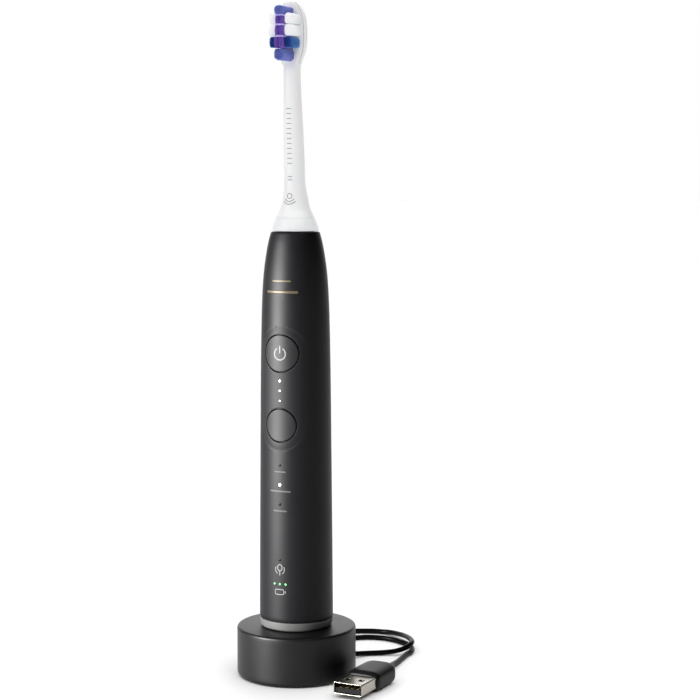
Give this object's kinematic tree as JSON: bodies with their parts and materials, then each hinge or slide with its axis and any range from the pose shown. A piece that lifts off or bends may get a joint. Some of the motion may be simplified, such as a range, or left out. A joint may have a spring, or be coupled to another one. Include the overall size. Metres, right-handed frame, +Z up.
{
  "type": "electric toothbrush",
  "caption": "Slim cylindrical electric toothbrush with a removable brush head, two front buttons and status lights, standing on a round inductive charging base with a USB cord.",
  "frame": {"origin": "on the floor at the axis of the charging base and the handle", "axes": "+Z up along the handle, -Y the front with the buttons and bristles, +X the brush's left hand side as it faces the viewer's right"},
  "size_m": [0.0771, 0.0951, 0.2634],
  "materials": {
    "black_plastic": "fine matte charcoal",
    "soft_black_rubber": "soft-touch matte",
    "grey_plastic": "satin",
    "white_plastic": "satin white",
    "light_guide_plastic": "clear",
    "cord_black": "smooth",
    "steel": "bright",
    "contact_gold": "plated",
    "copper_wire": "enamelled winding",
    "ferrite": "sintered",
    "board_green": "solder mask",
    "battery_sleeve": "shrink sleeve",
    "bristles_white": "nylon filament",
    "bristles_light_blue": "nylon filament",
    "bristles_purple": "nylon filament",
    "bristles_blue": "nylon filament"
  },
  "bodies": {
    "charger": {"charger_shell": "black_plastic", "charger_base_plate": "black_plastic", "foot_ring": "soft_black_rubber", "charger_ferrite_core": "ferrite", "charger_coil": "copper_wire", "charger_circuit_board": "board_green", "cord_strain_relief": "soft_black_rubber", "charging_cord_near": "cord_black", "charging_cord_far": "cord_black", "charging_cord_coil": "cord_black", "usb_grip": "black_plastic", "usb_shell": "steel", "usb_tongue": "black_plastic", "usb_contact_1": "contact_gold", "usb_contact_2": "contact_gold", "usb_contact_3": "contact_gold", "usb_contact_4": "contact_gold"},
    "handle": {"end_cap": "grey_plastic", "end_cap_seal": "soft_black_rubber", "receiving_coil": "copper_wire", "handle_housing": "black_plastic", "button_panel": "soft_black_rubber", "internal_frame": "grey_plastic", "battery_cell": "battery_sleeve", "circuit_board": "board_green", "power_switch": "steel", "mode_switch": "steel", "intensity_light_guide": "light_guide_plastic", "mode_light_guide": "light_guide_plastic", "charge_light_guide": "light_guide_plastic", "motor_core": "steel", "motor_winding": "copper_wire", "bearing_block": "grey_plastic", "shaft_bearing": "steel", "shaft_seal": "soft_black_rubber"},
    "drive": {"drive_shaft": "steel", "armature_yoke": "steel", "magnet_left": "steel", "magnet_right": "steel"},
    "brush_head": {"brush_base_ring": "white_plastic", "brush_id_tag": "copper_wire", "brush_neck": "white_plastic", "shaft_sleeve": "grey_plastic", "toe_bristles": "bristles_light_blue", "centre_bristles": "bristles_purple", "heel_bristles": "bristles_light_blue", "white_bristles_left": "bristles_white", "white_bristles_right": "bristles_white", "blue_bristles_left": "bristles_blue", "blue_bristles_right": "bristles_blue"},
    "power_button": {"power_button": "soft_black_rubber"},
    "mode_button": {"mode_button": "soft_black_rubber"}
  },
  "joints": [
    {"name": "handle_lift", "type": "slide", "parent": "charger", "child": "handle", "axis": [0, 0, 1], "range_m": [0, 0.04]},
    {"name": "shaft_oscillation", "type": "hinge", "parent": "handle", "child": "drive", "pos_m": [0, 0, 0.1508], "axis": [0, 0, 1], "range_deg": [-5, 5], "stiffness_Nm_per_rad": 0.05},
    {"name": "brush_pull", "type": "slide", "parent": "drive", "child": "brush_head", "axis": [0, 0, 1], "range_m": [0, 0.03]},
    {"name": "power_press", "type": "slide", "parent": "handle", "child": "power_button", "axis": [0, 1, 0], "range_m": [0, 0.0005], "stiffness_N_per_m": 1500},
    {"name": "mode_press", "type": "slide", "parent": "handle", "child": "mode_button", "axis": [0, 1, 0], "range_m": [0, 0.0005], "stiffness_N_per_m": 1500}
  ]
}
